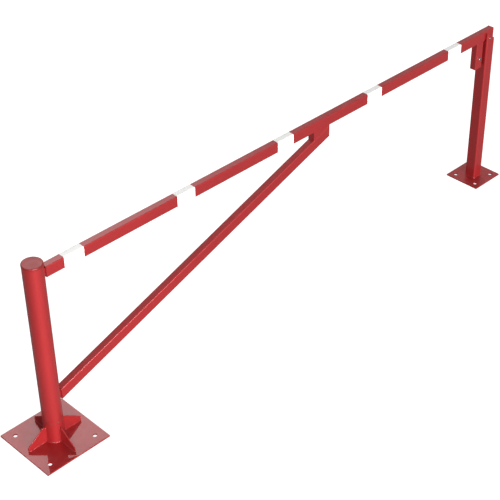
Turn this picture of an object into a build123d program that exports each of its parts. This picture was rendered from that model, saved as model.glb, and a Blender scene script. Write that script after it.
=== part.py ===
"""Manual swing gate for a parking area: hinge post, braced beam, lock and latch post.

The hinge axis stands on the origin, the closed beam runs along +X, and +Z is up.
All sizes are in millimetres.
"""

from build123d import *
from math import atan2, cos, degrees, radians, sin, tan
import os

# ---------------------------------------------------------------- driving dimensions

# base plates
plate_thickness = 8.0
hinge_plate_side = 380.0
hinge_bolt_pitch = 275.0
hinge_bolt_hole = 22.0
latch_plate_side = 230.0
latch_bolt_pitch = 150.0
latch_bolt_hole = 22.0
drain_hole = 40.0

# hinge post: a fixed foot, a fixed pivot tube inside, and a sleeve that turns on it
post_od = 101.6
sleeve_wall = 4.0
foot_height = 122.0
thrust_washer_thickness = 2.0
sleeve_rise = 32.3
bush_wall = 2.2
pivot_wall = 5.0
pivot_drop = 44.3
pivot_head_thickness = 12.0
bush_length = 60.0
retaining_washer_thickness = 6.0
retaining_bolt_size = 16.0
retaining_bolt_hex = 24.0
retaining_bolt_head = 10.0
cap_overhang = 0.9
cap_thickness = 10.0
cap_edge_radius = 5.0
cap_spigot_depth = 15.0
cap_wall = 4.0

# gussets on the foot
gusset_thickness = 5.0
gusset_reach = 160.0
gusset_height = 90.0
gusset_nose = 22.0
gusset_top_width = 13.0

# beam and brace, both of the same rectangular tube
tube_height = 60.0
tube_width = 40.0
tube_wall = 3.0
tube_corner = 5.0
beam_underside = 952.0
beam_overrun = 3.0
root_standoff = 6.5
root_plate_thickness = 4.0
root_pad_width = 24.0
root_pad_margin = 9.0
end_plate_thickness = 3.0
brace_root_height = 264.206
brace_head_past_band = 273.0
brace_head_gap = 6.0
head_block_length = 120.0

# white bands
band_count = 5
band_start = 159.0
band_width = 114.0
band_end_margin = 304.0
band_film = 0.4

# lock housing under the beam
lock_gap = 2.0
lock_housing_drop = 167.0
lock_housing_length = 60.0
lock_axis_drop = 102.0
boss_od = 18.0
boss_projection = 10.0
spindle_diameter = 12.0
spindle_recess = 2.0
triangle_side = 8.0
triangle_length = 8.0
crank_throw = 7.5
crank_thickness = 4.0
crank_rim = 2.0
crank_pin_diameter = 6.0
bolt_height = 20.0
bolt_thickness = 8.0
bolt_tail = 7.3
bolt_guide_length = 9.0
bolt_guide_edge = 3.0

# latch post
latch_post_x = 3287.0
latch_post_size = 70.0
latch_post_wall = 4.0
latch_post_corner = 8.0
rest_gap = 4.0
rest_plate_thickness = 4.0
rest_pad_length = 50.0
horn_height = 52.0
horn_nose = 4.0
horn_return = 11.0
buffer_size = 18.0
buffer_offset = 15.0
buffer_drop = 15.0
buffer_screw_diameter = 6.0
buffer_screw_hex = 10.0
buffer_screw_head = 4.0

# keeper that the bolt enters
keeper_web = 3.0
keeper_cheek = 4.0
keeper_projection = 12.0
keeper_height = 40.0

# ---------------------------------------------------------------- clearances

running_clearance = 0.1
fitted_clearance = 0.05
joint_gap = 0.3
bolt_clearance = 0.5
pin_slot_clearance = 0.6
keeper_clearance = 1.5
assembly_clearance = 0.2
retainer_clearance = 0.8

# ---------------------------------------------------------------- derived sizes

ground = 0.0
plate_top = ground + plate_thickness
post_radius = post_od / 2
sleeve_id = post_od - 2 * sleeve_wall
foot_top = plate_top + foot_height
thrust_top = foot_top + thrust_washer_thickness
sleeve_bottom = thrust_top + joint_gap
beam_top = beam_underside + tube_height
sleeve_top = beam_top + sleeve_rise
bush_od = sleeve_id - 2 * fitted_clearance
bush_id = bush_od - 2 * bush_wall
pivot_od = bush_id - 2 * running_clearance
pivot_id = pivot_od - 2 * pivot_wall
pivot_top = sleeve_top - pivot_drop
retaining_washer_od = sleeve_id - 2 * retainer_clearance
upper_bush_top = pivot_top - joint_gap
retainer_top = pivot_top + retaining_washer_thickness

beam_end = latch_post_x + latch_post_size / 2 + beam_overrun
beam_axis_z = beam_underside + tube_height / 2
root_face = post_radius + root_standoff
tube_start = root_face + root_plate_thickness

band_pitch = (beam_end - band_end_margin - band_width - band_start) / (band_count - 1)
brace_head_end = band_start + 2 * band_pitch + band_width + brace_head_past_band

brace_rise = beam_underside - brace_head_gap - brace_root_height
brace_angle = degrees(atan2(brace_rise, brace_head_end))
brace_slope = tan(radians(brace_angle))
brace_depth = tube_height / cos(radians(brace_angle))
brace_head_bottom = beam_underside - brace_head_gap - brace_depth
housing_bottom = beam_underside - lock_housing_drop
lock_axis_z = beam_underside - lock_axis_drop
latch_face = latch_post_x - latch_post_size / 2
housing_face = latch_face - keeper_projection - lock_gap
lock_centre_x = housing_face - lock_housing_length / 2

half_throw = crank_throw * sin(radians(45))
bolt_axis_z = lock_axis_z - (crank_throw + half_throw) / 2
pin_rest_x = lock_centre_x - half_throw
pin_slot_width = crank_pin_diameter + 2 * pin_slot_clearance
pin_slot_height = crank_throw - half_throw + pin_slot_width
bolt_back = pin_rest_x - bolt_tail
bolt_tip = housing_face
crank_front_y = -crank_thickness / 2
bolt_near_y = crank_thickness / 2 + bolt_clearance
bolt_mid_y = bolt_near_y + bolt_thickness / 2
crank_pin_end = bolt_near_y + bolt_thickness + keeper_clearance

buffer_x = latch_post_x - buffer_offset
latch_top = beam_underside - rest_gap
rest_pad_top = beam_underside - joint_gap
horn_wall_inner = -latch_post_size / 2 + latch_post_wall
buffer_front = -tube_width / 2 - joint_gap
buffer_z = beam_underside + buffer_drop


def brace_underside(x):
    """Height of the brace's lower edge above the ground at a distance x from the hinge axis."""
    return brace_head_bottom - (brace_head_end - x) * brace_slope


def tube_profile(height, width, corner, wall):
    """Section of a rectangular tube, or of a solid bar where wall is 0."""
    with BuildSketch() as profile:
        RectangleRounded(width, height, corner)
        if wall:
            inner_corner = max(corner - wall, 1.0)
            RectangleRounded(width - 2 * wall, height - 2 * wall, inner_corner, mode=Mode.SUBTRACT)
    return profile.sketch


def plane_along_beam(x):
    """Plane across the beam at x: its first axis is +Y and its second axis is +Z."""
    return Plane(origin=(x, 0, beam_axis_z), x_dir=(0, 1, 0), z_dir=(1, 0, 0))


def plane_along_brace(x):
    """Plane square to the brace, through the middle of its section at x."""
    middle = (x, 0, brace_underside(x) + brace_depth / 2)
    direction = (cos(radians(brace_angle)), 0, sin(radians(brace_angle)))
    return Plane(origin=middle, x_dir=(0, 1, 0), z_dir=direction)


def finish(part, name):
    """Label a finished piece and write it as parts/name.step."""
    part.label = name
    export_step(part, f"parts/{name}.step")


os.makedirs("parts", exist_ok=True)

# ---------------------------------------------------------------- base plates

with BuildPart() as hinge_base_plate:
    with BuildSketch(Plane.XY.offset(ground)):
        Rectangle(hinge_plate_side, hinge_plate_side)
    extrude(amount=plate_thickness)
    with Locations(Plane.XY.offset(plate_top)):
        with GridLocations(hinge_bolt_pitch, hinge_bolt_pitch, 2, 2):
            Hole(hinge_bolt_hole / 2)
        Hole(drain_hole / 2)
    chamfer(hinge_base_plate.faces().sort_by(Axis.Z)[-1].outer_wire().edges(), 0.8)
finish(hinge_base_plate.part, "hinge_base_plate")

with BuildPart() as latch_base_plate:
    with BuildSketch(Plane((latch_post_x, 0, ground))):
        Rectangle(latch_plate_side, latch_plate_side)
    extrude(amount=plate_thickness)
    with Locations((latch_post_x, 0, plate_top)):
        with GridLocations(latch_bolt_pitch, latch_bolt_pitch, 2, 2):
            Hole(latch_bolt_hole / 2)
        Hole(drain_hole / 2)
    chamfer(latch_base_plate.faces().sort_by(Axis.Z)[-1].outer_wire().edges(), 0.8)
finish(latch_base_plate.part, "latch_base_plate")

# ---------------------------------------------------------------- fixed foot and pivot

with BuildPart() as foot_tube:
    with BuildSketch(Plane.XY.offset(plate_top)):
        Circle(post_radius)
        Circle(pivot_od / 2 + assembly_clearance, mode=Mode.SUBTRACT)
    extrude(amount=foot_height)
finish(foot_tube.part, "foot_tube")

with BuildPart() as foot_gussets:
    for turn in (0, 90, 180, 270):
        outward = Vector(1, 0, 0).rotate(Axis.Z, turn)
        sideways = Vector(0, -1, 0).rotate(Axis.Z, turn)
        with BuildSketch(Plane(origin=(0, 0, plate_top), x_dir=outward, z_dir=sideways)):
            with BuildLine():
                Polyline(
                    (post_radius - gusset_thickness, 0),
                    (gusset_reach, 0),
                    (gusset_reach, gusset_nose),
                    (post_radius + gusset_top_width, gusset_height),
                    (post_radius - gusset_thickness, gusset_height),
                    close=True,
                )
            make_face()
        extrude(amount=gusset_thickness / 2, both=True)
    with BuildSketch(Plane.XY.offset(plate_top)):
        Circle(post_radius)
    extrude(amount=gusset_height, mode=Mode.SUBTRACT)
finish(foot_gussets.part, "foot_gussets")

with BuildPart() as pivot_tube:
    with BuildSketch(Plane.XY.offset(plate_top)):
        Circle(pivot_od / 2)
        Circle(pivot_id / 2, mode=Mode.SUBTRACT)
    extrude(amount=pivot_top - plate_top)
finish(pivot_tube.part, "pivot_tube")

with BuildPart() as pivot_head:
    with BuildSketch(Plane.XY.offset(pivot_top)):
        Circle(pivot_id / 2 - fitted_clearance)
        Circle(retaining_bolt_size / 2 + running_clearance, mode=Mode.SUBTRACT)
    extrude(amount=-pivot_head_thickness)
finish(pivot_head.part, "pivot_head")

with BuildPart() as retaining_washer:
    with BuildSketch(Plane.XY.offset(pivot_top)):
        Circle(retaining_washer_od / 2)
        Circle(retaining_bolt_size / 2 + assembly_clearance, mode=Mode.SUBTRACT)
    extrude(amount=retaining_washer_thickness)
    chamfer(retaining_washer.edges().group_by(Axis.Z)[-1].sort_by(SortBy.LENGTH)[-1], 1.0)
finish(retaining_washer.part, "retaining_washer")

with BuildPart() as retaining_bolt:
    with BuildSketch(Plane.XY.offset(retainer_top)):
        RegularPolygon(retaining_bolt_hex / 2, 6, major_radius=False)
    extrude(amount=retaining_bolt_head)
    chamfer(retaining_bolt.edges().group_by(Axis.Z)[-1], 0.8)
    with BuildSketch(Plane.XY.offset(retainer_top)):
        Circle(retaining_bolt_size / 2)
    extrude(amount=-(retaining_washer_thickness + pivot_head_thickness))
finish(retaining_bolt.part, "retaining_bolt")

with BuildPart() as thrust_washer:
    with BuildSketch(Plane.XY.offset(foot_top)):
        Circle(post_radius - assembly_clearance)
        Circle(pivot_od / 2 + assembly_clearance, mode=Mode.SUBTRACT)
    extrude(amount=thrust_washer_thickness)
finish(thrust_washer.part, "thrust_washer")

# ---------------------------------------------------------------- turning sleeve

with BuildPart() as hinge_sleeve:
    with BuildSketch(Plane.XY.offset(sleeve_bottom)):
        Circle(post_radius)
        Circle(sleeve_id / 2, mode=Mode.SUBTRACT)
    extrude(amount=sleeve_top - sleeve_bottom)
    chamfer(hinge_sleeve.edges().group_by(Axis.Z)[0].sort_by(SortBy.LENGTH)[-1], 0.6)
finish(hinge_sleeve.part, "hinge_sleeve")

for bush_name, bush_base in (("lower_bush", sleeve_bottom), ("upper_bush", upper_bush_top - bush_length)):
    with BuildPart() as bush:
        with BuildSketch(Plane.XY.offset(bush_base)):
            Circle(bush_od / 2)
            Circle(bush_id / 2, mode=Mode.SUBTRACT)
        extrude(amount=bush_length)
    finish(bush.part, bush_name)

with BuildPart() as post_cap:
    with BuildSketch(Plane.XY.offset(sleeve_top)):
        Circle(post_radius + cap_overhang)
    extrude(amount=cap_thickness)
    fillet(post_cap.edges().group_by(Axis.Z)[-1], min(cap_edge_radius, cap_thickness * 0.8))
    with BuildSketch(Plane.XY.offset(sleeve_top)):
        Circle(sleeve_id / 2 - assembly_clearance)
        Circle(sleeve_id / 2 - assembly_clearance - cap_wall, mode=Mode.SUBTRACT)
    extrude(amount=-cap_spigot_depth)
finish(post_cap.part, "post_cap")

# ---------------------------------------------------------------- beam

beam_section = tube_profile(tube_height, tube_width, tube_corner, tube_wall)
solid_section = tube_profile(tube_height, tube_width, tube_corner, 0)

with BuildPart() as beam_root_plate:
    with BuildSketch(plane_along_beam(root_face)):
        add(solid_section)
    extrude(amount=root_plate_thickness)
finish(beam_root_plate.part, "beam_root_plate")

with BuildPart() as beam_tube:
    with BuildSketch(plane_along_beam(tube_start)):
        add(beam_section)
    extrude(amount=beam_end - end_plate_thickness - tube_start)
finish(beam_tube.part, "beam_tube")

with BuildPart() as beam_end_plate:
    with BuildSketch(plane_along_beam(beam_end - end_plate_thickness)):
        add(solid_section)
    extrude(amount=end_plate_thickness)
    chamfer(beam_end_plate.faces().sort_by(Axis.X)[-1].edges(), 0.8)
finish(beam_end_plate.part, "beam_end_plate")

with BuildPart() as reflective_bands:
    for band in range(band_count):
        with BuildSketch(plane_along_beam(band_start + band * band_pitch)):
            RectangleRounded(tube_width + 2 * band_film, tube_height + 2 * band_film, tube_corner + band_film)
            RectangleRounded(tube_width, tube_height, tube_corner, mode=Mode.SUBTRACT)
        extrude(amount=band_width)
finish(reflective_bands.part, "reflective_bands")

# ---------------------------------------------------------------- brace

with BuildPart() as brace_tube:
    with BuildSketch(plane_along_brace(0)):
        add(beam_section)
    extrude(amount=(brace_head_end + tube_height) / cos(radians(brace_angle)))
    split(bisect_by=Plane.YZ.offset(tube_start), keep=Keep.TOP)
    split(bisect_by=Plane.YZ.offset(brace_head_end - end_plate_thickness), keep=Keep.BOTTOM)
finish(brace_tube.part, "brace_tube")

brace_ends = (
    ("brace_root_plate", root_face, root_plate_thickness),
    ("brace_head_plate", brace_head_end - end_plate_thickness, end_plate_thickness),
)
for plate_name, plate_x, thickness in brace_ends:
    with BuildPart() as brace_plate:
        with BuildSketch(plane_along_brace(plate_x)):
            add(solid_section)
        extrude(amount=2 * tube_height, both=True)
        split(bisect_by=Plane.YZ.offset(plate_x), keep=Keep.TOP)
        split(bisect_by=Plane.YZ.offset(plate_x + thickness), keep=Keep.BOTTOM)
    finish(brace_plate.part, plate_name)

# short box between the beam and the top of the brace, open where they close it
block_start = brace_head_end - head_block_length
with BuildPart() as brace_head_block:
    with BuildSketch(Plane.XZ):
        with BuildLine():
            Polyline(
                (block_start, brace_underside(block_start) + brace_depth),
                (brace_head_end, brace_underside(brace_head_end) + brace_depth),
                (brace_head_end, beam_underside),
                (block_start, beam_underside),
                close=True,
            )
        make_face()
    extrude(amount=tube_width / 2, both=True)
    with BuildSketch(Plane((brace_head_end - head_block_length / 2, 0, beam_underside))):
        Rectangle(head_block_length - 2 * tube_wall, tube_width - 2 * tube_wall)
    extrude(amount=-2 * tube_height, mode=Mode.SUBTRACT)
finish(brace_head_block.part, "brace_head_block")

# ---------------------------------------------------------------- pads between the sleeve and the ends

pads = (
    ("beam_root_pad", beam_axis_z, tube_height - 2 * root_pad_margin),
    ("brace_root_pad", brace_underside(root_face) + brace_depth / 2, brace_depth - 2 * root_pad_margin),
)
for pad_name, pad_z, pad_height in pads:
    with BuildPart() as root_pad:
        with BuildSketch(Plane((0, 0, pad_z - pad_height / 2))):
            with Locations((root_face / 2, 0)):
                Rectangle(root_face, root_pad_width)
            Circle(post_radius, mode=Mode.SUBTRACT)
        extrude(amount=pad_height)
    finish(root_pad.part, pad_name)

# ---------------------------------------------------------------- lock on the beam

with BuildPart() as lock_housing:
    with BuildSketch(Plane((lock_centre_x, 0, housing_bottom + end_plate_thickness))):
        add(tube_profile(tube_width, lock_housing_length, tube_corner, tube_wall))
    extrude(amount=lock_housing_drop - end_plate_thickness)
    with BuildSketch(Plane(origin=(lock_centre_x, 0, lock_axis_z), x_dir=(1, 0, 0), z_dir=(0, -1, 0))):
        Circle(boss_od / 2)
    extrude(amount=tube_width, mode=Mode.SUBTRACT)
    with BuildSketch(Plane(origin=(lock_centre_x, bolt_mid_y, bolt_axis_z), x_dir=(0, 1, 0), z_dir=(1, 0, 0))):
        Rectangle(bolt_thickness + 2 * bolt_clearance, bolt_height + 2 * bolt_clearance)
    extrude(amount=lock_housing_length, mode=Mode.SUBTRACT)
finish(lock_housing.part, "lock_housing")

with BuildPart() as lock_bottom_plate:
    with BuildSketch(Plane((lock_centre_x, 0, housing_bottom))):
        RectangleRounded(lock_housing_length, tube_width, tube_corner)
    extrude(amount=end_plate_thickness)
    chamfer(lock_bottom_plate.faces().sort_by(Axis.Z)[0].edges(), 0.8)
finish(lock_bottom_plate.part, "lock_bottom_plate")

bearing_end_y = crank_front_y - joint_gap
bearing_front_y = -tube_width / 2 - boss_projection
bearing_plane = Plane(origin=(lock_centre_x, bearing_end_y, lock_axis_z), x_dir=(1, 0, 0), z_dir=(0, -1, 0))
with BuildPart() as spindle_bearing:
    with BuildSketch(bearing_plane):
        Circle(boss_od / 2)
        Circle(spindle_diameter / 2 + running_clearance, mode=Mode.SUBTRACT)
    extrude(amount=bearing_end_y - bearing_front_y)
    outer_rim = spindle_bearing.edges().group_by(Axis.Y)[0].sort_by(SortBy.LENGTH)[-1]
    chamfer(outer_rim, 1.0)
finish(spindle_bearing.part, "spindle_bearing")

spindle_front_y = bearing_front_y + spindle_recess
crank_plane = Plane(origin=(lock_centre_x, crank_front_y, lock_axis_z), x_dir=(1, 0, 0), z_dir=(0, -1, 0))
with BuildPart() as lock_spindle:
    with BuildSketch(crank_plane):
        Circle(spindle_diameter / 2)
    extrude(amount=crank_front_y - spindle_front_y - triangle_length)
    with BuildSketch(crank_plane.offset(crank_front_y - spindle_front_y - triangle_length)):
        RegularPolygon(triangle_side * 0.577, 3, rotation=90)
    extrude(amount=triangle_length)
finish(lock_spindle.part, "lock_spindle")

with BuildPart() as lock_crank:
    with BuildSketch(crank_plane):
        Circle(crank_throw + crank_pin_diameter / 2 + crank_rim)
        with Locations((-half_throw, -half_throw)):
            Circle(crank_pin_diameter / 2 + fitted_clearance, mode=Mode.SUBTRACT)
    extrude(amount=-crank_thickness)
finish(lock_crank.part, "lock_crank")

with BuildPart() as crank_pin:
    with BuildSketch(crank_plane):
        with Locations((-half_throw, -half_throw)):
            Circle(crank_pin_diameter / 2)
    extrude(amount=crank_front_y - crank_pin_end)
finish(crank_pin.part, "crank_pin")

bolt_plane = Plane(origin=(0, bolt_near_y, bolt_axis_z), x_dir=(1, 0, 0), z_dir=(0, -1, 0))
with BuildPart() as lock_bolt:
    with BuildSketch(bolt_plane):
        with Locations(((bolt_back + bolt_tip) / 2, 0)):
            Rectangle(bolt_tip - bolt_back, bolt_height)
        with Locations((pin_rest_x, 0)):
            SlotOverall(pin_slot_height, pin_slot_width, rotation=90, mode=Mode.SUBTRACT)
    extrude(amount=-bolt_thickness)
    chamfer(lock_bolt.faces().sort_by(Axis.X)[-1].edges(), 1.0)
finish(lock_bolt.part, "lock_bolt")

with BuildPart() as bolt_guide:
    guide_plane = Plane(
        origin=(housing_face - tube_wall, bolt_mid_y, bolt_axis_z), x_dir=(0, 1, 0), z_dir=(1, 0, 0)
    )
    with BuildSketch(guide_plane):
        Rectangle(bolt_thickness + 2 * bolt_guide_edge, bolt_height + 4 * bolt_guide_edge)
        Rectangle(bolt_thickness + 2 * joint_gap, bolt_height + 2 * joint_gap, mode=Mode.SUBTRACT)
    extrude(amount=-bolt_guide_length)
finish(bolt_guide.part, "bolt_guide")

# ---------------------------------------------------------------- latch post

with BuildPart() as latch_post:
    with BuildSketch(Plane((latch_post_x, 0, plate_top))):
        add(tube_profile(latch_post_size, latch_post_size, latch_post_corner, latch_post_wall))
    extrude(amount=latch_top - plate_top)
finish(latch_post.part, "latch_post")

with BuildPart() as rest_plate:
    with BuildSketch(Plane((latch_post_x, 0, latch_top))):
        inner_size = latch_post_size - 2 * latch_post_wall - 2 * assembly_clearance
        RectangleRounded(inner_size, inner_size, latch_post_corner - latch_post_wall)
    extrude(amount=-rest_plate_thickness)
finish(rest_plate.part, "rest_plate")

with BuildPart() as rest_pad:
    with BuildSketch(Plane((latch_post_x, 0, latch_top))):
        RectangleRounded(rest_pad_length, rest_pad_length, 4)
    extrude(amount=rest_pad_top - latch_top)
    chamfer(rest_pad.faces().sort_by(Axis.Z)[-1].edges(), 1.0)
finish(rest_pad.part, "rest_pad")

# angle horn on the post: full height over the corner by the lock, falling away along the beam
with BuildPart() as stop_horn:
    with BuildSketch(Plane((latch_post_x, 0, latch_top))):
        add(tube_profile(latch_post_size, latch_post_size, latch_post_corner, latch_post_wall))
        with Locations((0, horn_return)):
            Rectangle(latch_post_size, latch_post_size, mode=Mode.SUBTRACT)
    extrude(amount=horn_height)
    with BuildSketch(Plane.XZ.offset(latch_post_size)):
        with BuildLine():
            Polyline(
                (latch_face, latch_top + horn_height),
                (latch_face + latch_post_size, latch_top + horn_nose),
                (latch_face + latch_post_size, latch_top + 2 * horn_height),
                (latch_face, latch_top + 2 * horn_height),
                close=True,
            )
        make_face()
    extrude(amount=-2 * latch_post_size, mode=Mode.SUBTRACT)
    with Locations(Plane(origin=(buffer_x, 0, buffer_z), x_dir=(1, 0, 0), z_dir=(0, -1, 0))):
        Cylinder(
            buffer_screw_diameter / 2 + assembly_clearance,
            latch_post_size,
            align=(Align.CENTER, Align.CENTER, Align.MIN),
            mode=Mode.SUBTRACT,
        )
finish(stop_horn.part, "stop_horn")

buffer_plane = Plane(origin=(buffer_x, horn_wall_inner, buffer_z), x_dir=(1, 0, 0), z_dir=(0, -1, 0))
with BuildPart() as stop_buffer:
    with BuildSketch(buffer_plane):
        RectangleRounded(buffer_size, buffer_size, 3)
    extrude(amount=horn_wall_inner - buffer_front)
    chamfer(stop_buffer.faces().sort_by(Axis.Y)[-1].edges(), 1.0)
    with BuildSketch(buffer_plane):
        Circle(buffer_screw_diameter / 2 + fitted_clearance)
    extrude(amount=(horn_wall_inner - buffer_front) / 2, mode=Mode.SUBTRACT)
finish(stop_buffer.part, "stop_buffer")

with BuildPart() as buffer_screw:
    with BuildSketch(buffer_plane.offset(latch_post_wall)):
        RegularPolygon(buffer_screw_hex / 2, 6, major_radius=False)
    extrude(amount=buffer_screw_head)
    chamfer(buffer_screw.edges().group_by(Axis.Y)[0], 0.5)
    with BuildSketch(buffer_plane.offset(latch_post_wall)):
        Circle(buffer_screw_diameter / 2)
    extrude(amount=-(latch_post_wall + (buffer_front - horn_wall_inner) / 2))
finish(buffer_screw.part, "buffer_screw")

# channel that the bolt enters, welded to the latch post
keeper_gap = bolt_thickness + 2 * keeper_clearance
with BuildPart() as lock_keeper:
    with BuildSketch(Plane((latch_face, bolt_mid_y, bolt_axis_z - keeper_height / 2))):
        with Locations((-keeper_projection / 2, 0)):
            Rectangle(keeper_projection, keeper_gap + 2 * keeper_cheek)
        with Locations((-keeper_web - keeper_projection / 2, 0)):
            Rectangle(keeper_projection, keeper_gap, mode=Mode.SUBTRACT)
    extrude(amount=keeper_height)
    chamfer(lock_keeper.edges().filter_by(Axis.Z).group_by(Axis.X)[0], 1.0)
finish(lock_keeper.part, "lock_keeper")
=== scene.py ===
"""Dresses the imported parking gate: rounded steelwork, weld beads, enamel, film, zinc and rubber."""

import logging
import math
from dataclasses import dataclass, field
from enum import Enum
from typing import Optional, Sequence

import bmesh
import bpy
from mathutils import Matrix, Vector, noise


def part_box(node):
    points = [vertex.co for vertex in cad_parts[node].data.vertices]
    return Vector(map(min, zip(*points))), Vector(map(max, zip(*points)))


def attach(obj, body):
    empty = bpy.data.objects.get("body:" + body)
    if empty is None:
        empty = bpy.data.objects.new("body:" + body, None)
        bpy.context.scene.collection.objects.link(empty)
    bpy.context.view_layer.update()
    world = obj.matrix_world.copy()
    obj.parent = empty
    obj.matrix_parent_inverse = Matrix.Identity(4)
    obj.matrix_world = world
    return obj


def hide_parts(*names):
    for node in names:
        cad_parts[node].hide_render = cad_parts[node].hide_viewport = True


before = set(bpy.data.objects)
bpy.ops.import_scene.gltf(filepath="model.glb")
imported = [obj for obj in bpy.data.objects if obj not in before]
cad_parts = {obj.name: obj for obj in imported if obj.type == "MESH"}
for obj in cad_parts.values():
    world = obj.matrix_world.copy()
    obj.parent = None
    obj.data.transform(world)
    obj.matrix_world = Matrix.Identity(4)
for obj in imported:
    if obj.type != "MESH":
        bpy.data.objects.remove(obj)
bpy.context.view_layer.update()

log = logging.getLogger("parking_gate")
Colour = tuple[float, float, float]
Point = tuple[float, float, float]
Span = tuple[float, float]
Tree = bpy.types.NodeTree
Socket = bpy.types.NodeSocket
Vert = bmesh.types.BMVert
Edge = bmesh.types.BMEdge

POST_RADIUS = 0.0508  # outside of the hinge post's foot and sleeve
BEAM_UNDERSIDE = 0.952
WHOLE = (0.0, 1.0)  # the full range of a mask
CORNERS = ((-1, -1), (1, -1), (1, 1), (-1, 1))  # signs of a square's corners, in order round it
MERGE = 0.00001  # corners of a copied shape nearer than this are one
NEAR = 0.000001  # places nearer than this are the same
FLAT = math.radians(0.6)  # faces that turn less than this are joined
ROUNDED = math.radians(28)  # edges sharper than this are rounded
CREASED = math.radians(35)  # edges sharper than this are shaded as sharp


class Body(Enum):
    """The rigid bodies that a piece can ride on."""

    POSTS = "posts"
    GATE = "gate"
    KEY = "key_spindle"
    BOLT = "bolt"


# ---------------------------------------------------------------- node helpers


def feed(tree: Tree, node: bpy.types.Node, inputs: dict[int | str, object]) -> bpy.types.Node:
    """Fill a node's inputs.

    Args:
        tree: the tree it is in.
        node: the node.
        inputs: for each input, a socket to link to it or a value to set.

    Returns:
        The node.
    """
    for key, given in inputs.items():
        if isinstance(given, Socket):
            tree.links.new(given, node.inputs[key])
        else:
            node.inputs[key].default_value = given
    return node


def remap(tree: Tree, value: Socket, source: Span, target: Span = WHOLE) -> Socket:
    """Map a value from one range to another, clamped.

    Args:
        tree: the tree to build in.
        value: the socket to map.
        source: the range read.
        target: the range written.

    Returns:
        The mapped socket.
    """
    node = tree.nodes.new("ShaderNodeMapRange")
    limits = dict(zip(("From Min", "From Max", "To Min", "To Max"), (*source, *target)))
    return feed(tree, node, {"Value": value, **limits}).outputs["Result"]


def calculate(tree: Tree, operation: str, *values: Socket | float) -> Socket:
    """Do one sum on sockets and numbers."""
    node = tree.nodes.new("ShaderNodeMath")
    node.operation = operation
    return feed(tree, node, dict(enumerate(values))).outputs[0]


def camera_only(tree: Tree, usual: Socket, seen: Socket, out: str) -> None:
    """Show the camera one shader and everything else another.

    Args:
        tree: the tree to build in.
        usual: the shader that lights and reflections meet.
        seen: the shader that the camera sees.
        out: the output node they go to.
    """
    camera_ray = tree.nodes.new("ShaderNodeLightPath").outputs["Is Camera Ray"]
    pick = feed(tree, tree.nodes.new("ShaderNodeMixShader"), {0: camera_ray, 1: usual, 2: seen})
    feed(tree, tree.nodes[out], {"Surface": pick.outputs["Shader"]})


def stand(name: str, data: bpy.types.ID) -> bpy.types.Object:
    """Put a mesh, light or camera into the scene as an object."""
    thing = bpy.data.objects.new(name, data)
    bpy.context.scene.collection.objects.link(thing)
    return thing


# ---------------------------------------------------------------- shared finish effects


@dataclass(frozen=True)
class Effect:
    """Noise that several finishes share as one node group."""

    name: str
    scale: float
    detail: float
    kept: Optional[Span] = None
    stretch: Colour = (1, 1, 1)

    def where(self, tree: Tree) -> Optional[Socket]:
        """Mask of where the effect shows, or None for everywhere."""
        return None

    def group(self) -> Tree:
        """Make the node group, or return the one already made."""
        made = bpy.data.node_groups.get(self.name)
        if made:
            return made
        tree = bpy.data.node_groups.new(self.name, "ShaderNodeTree")
        for name, side in (("Mask", "OUTPUT"), ("Scale", "INPUT")):
            tree.interface.new_socket(name=name, in_out=side, socket_type="NodeSocketFloat")
        scale = tree.nodes.new("NodeGroupInput").outputs["Scale"]
        place = tree.nodes.new("ShaderNodeTexCoord").outputs["Object"]
        mapping = tree.nodes.new("ShaderNodeMapping")
        feed(tree, mapping, {"Vector": place, "Scale": self.stretch})
        grain = tree.nodes.new("ShaderNodeTexNoise")
        feed(tree, grain, {
            "Vector": mapping.outputs["Vector"], "Scale": scale, "Detail": self.detail,
        })
        mask = grain.outputs["Fac"]
        if self.kept:
            mask = remap(tree, mask, self.kept)
        shown = self.where(tree)
        if shown is not None:
            mask = calculate(tree, "MULTIPLY", shown, mask)
        feed(tree, tree.nodes.new("NodeGroupOutput"), {"Mask": mask})
        return tree

    def add(self, tree: Tree, scale: Optional[float] = None) -> Socket:
        """Use the effect in a material.

        Args:
            tree: the material's tree.
            scale: scale of the noise, if not the usual one.

        Returns:
            The mask's socket.
        """
        node = tree.nodes.new("ShaderNodeGroup")
        node.node_tree = self.group()
        return feed(tree, node, {"Scale": scale or self.scale}).outputs["Mask"]


class SettledEffect(Effect):
    """An effect on faces that look up."""

    def where(self, tree: Tree) -> Socket:
        """Mask of the faces that look up."""
        normal = tree.nodes.new("ShaderNodeNewGeometry").outputs["Normal"]
        parts = feed(tree, tree.nodes.new("ShaderNodeSeparateXYZ"), {"Vector": normal})
        return remap(tree, parts.outputs["Z"], (0.75, 1.0))


class RimEffect(Effect):
    """An effect on rounded edges."""

    def where(self, tree: Tree) -> Socket:
        """Mask of the rounded edges, from the piece's own rim attribute."""
        rim = tree.nodes.new("ShaderNodeAttribute")
        rim.attribute_name = "rim"
        return rim.outputs["Fac"]


DRIFT = Effect("coat_drift", 3.0, 4, (0.3, 0.7))  # slow cloudy change of shade
PEEL = Effect("orange_peel", 260.0, 1.5)  # soft ripple that sprayed enamel dries with
DUST = SettledEffect("settled_dust", 24.0, 6, (0.42, 0.72))
SCUFFS = Effect("hairline_scuffs", 16.0, 5, (0.60, 0.74), (1.5, 30, 22))  # mostly lengthwise
WEAR = RimEffect("rim_wear", 70.0, 6, (0.5, 0.66))


# ---------------------------------------------------------------- finishes


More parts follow.
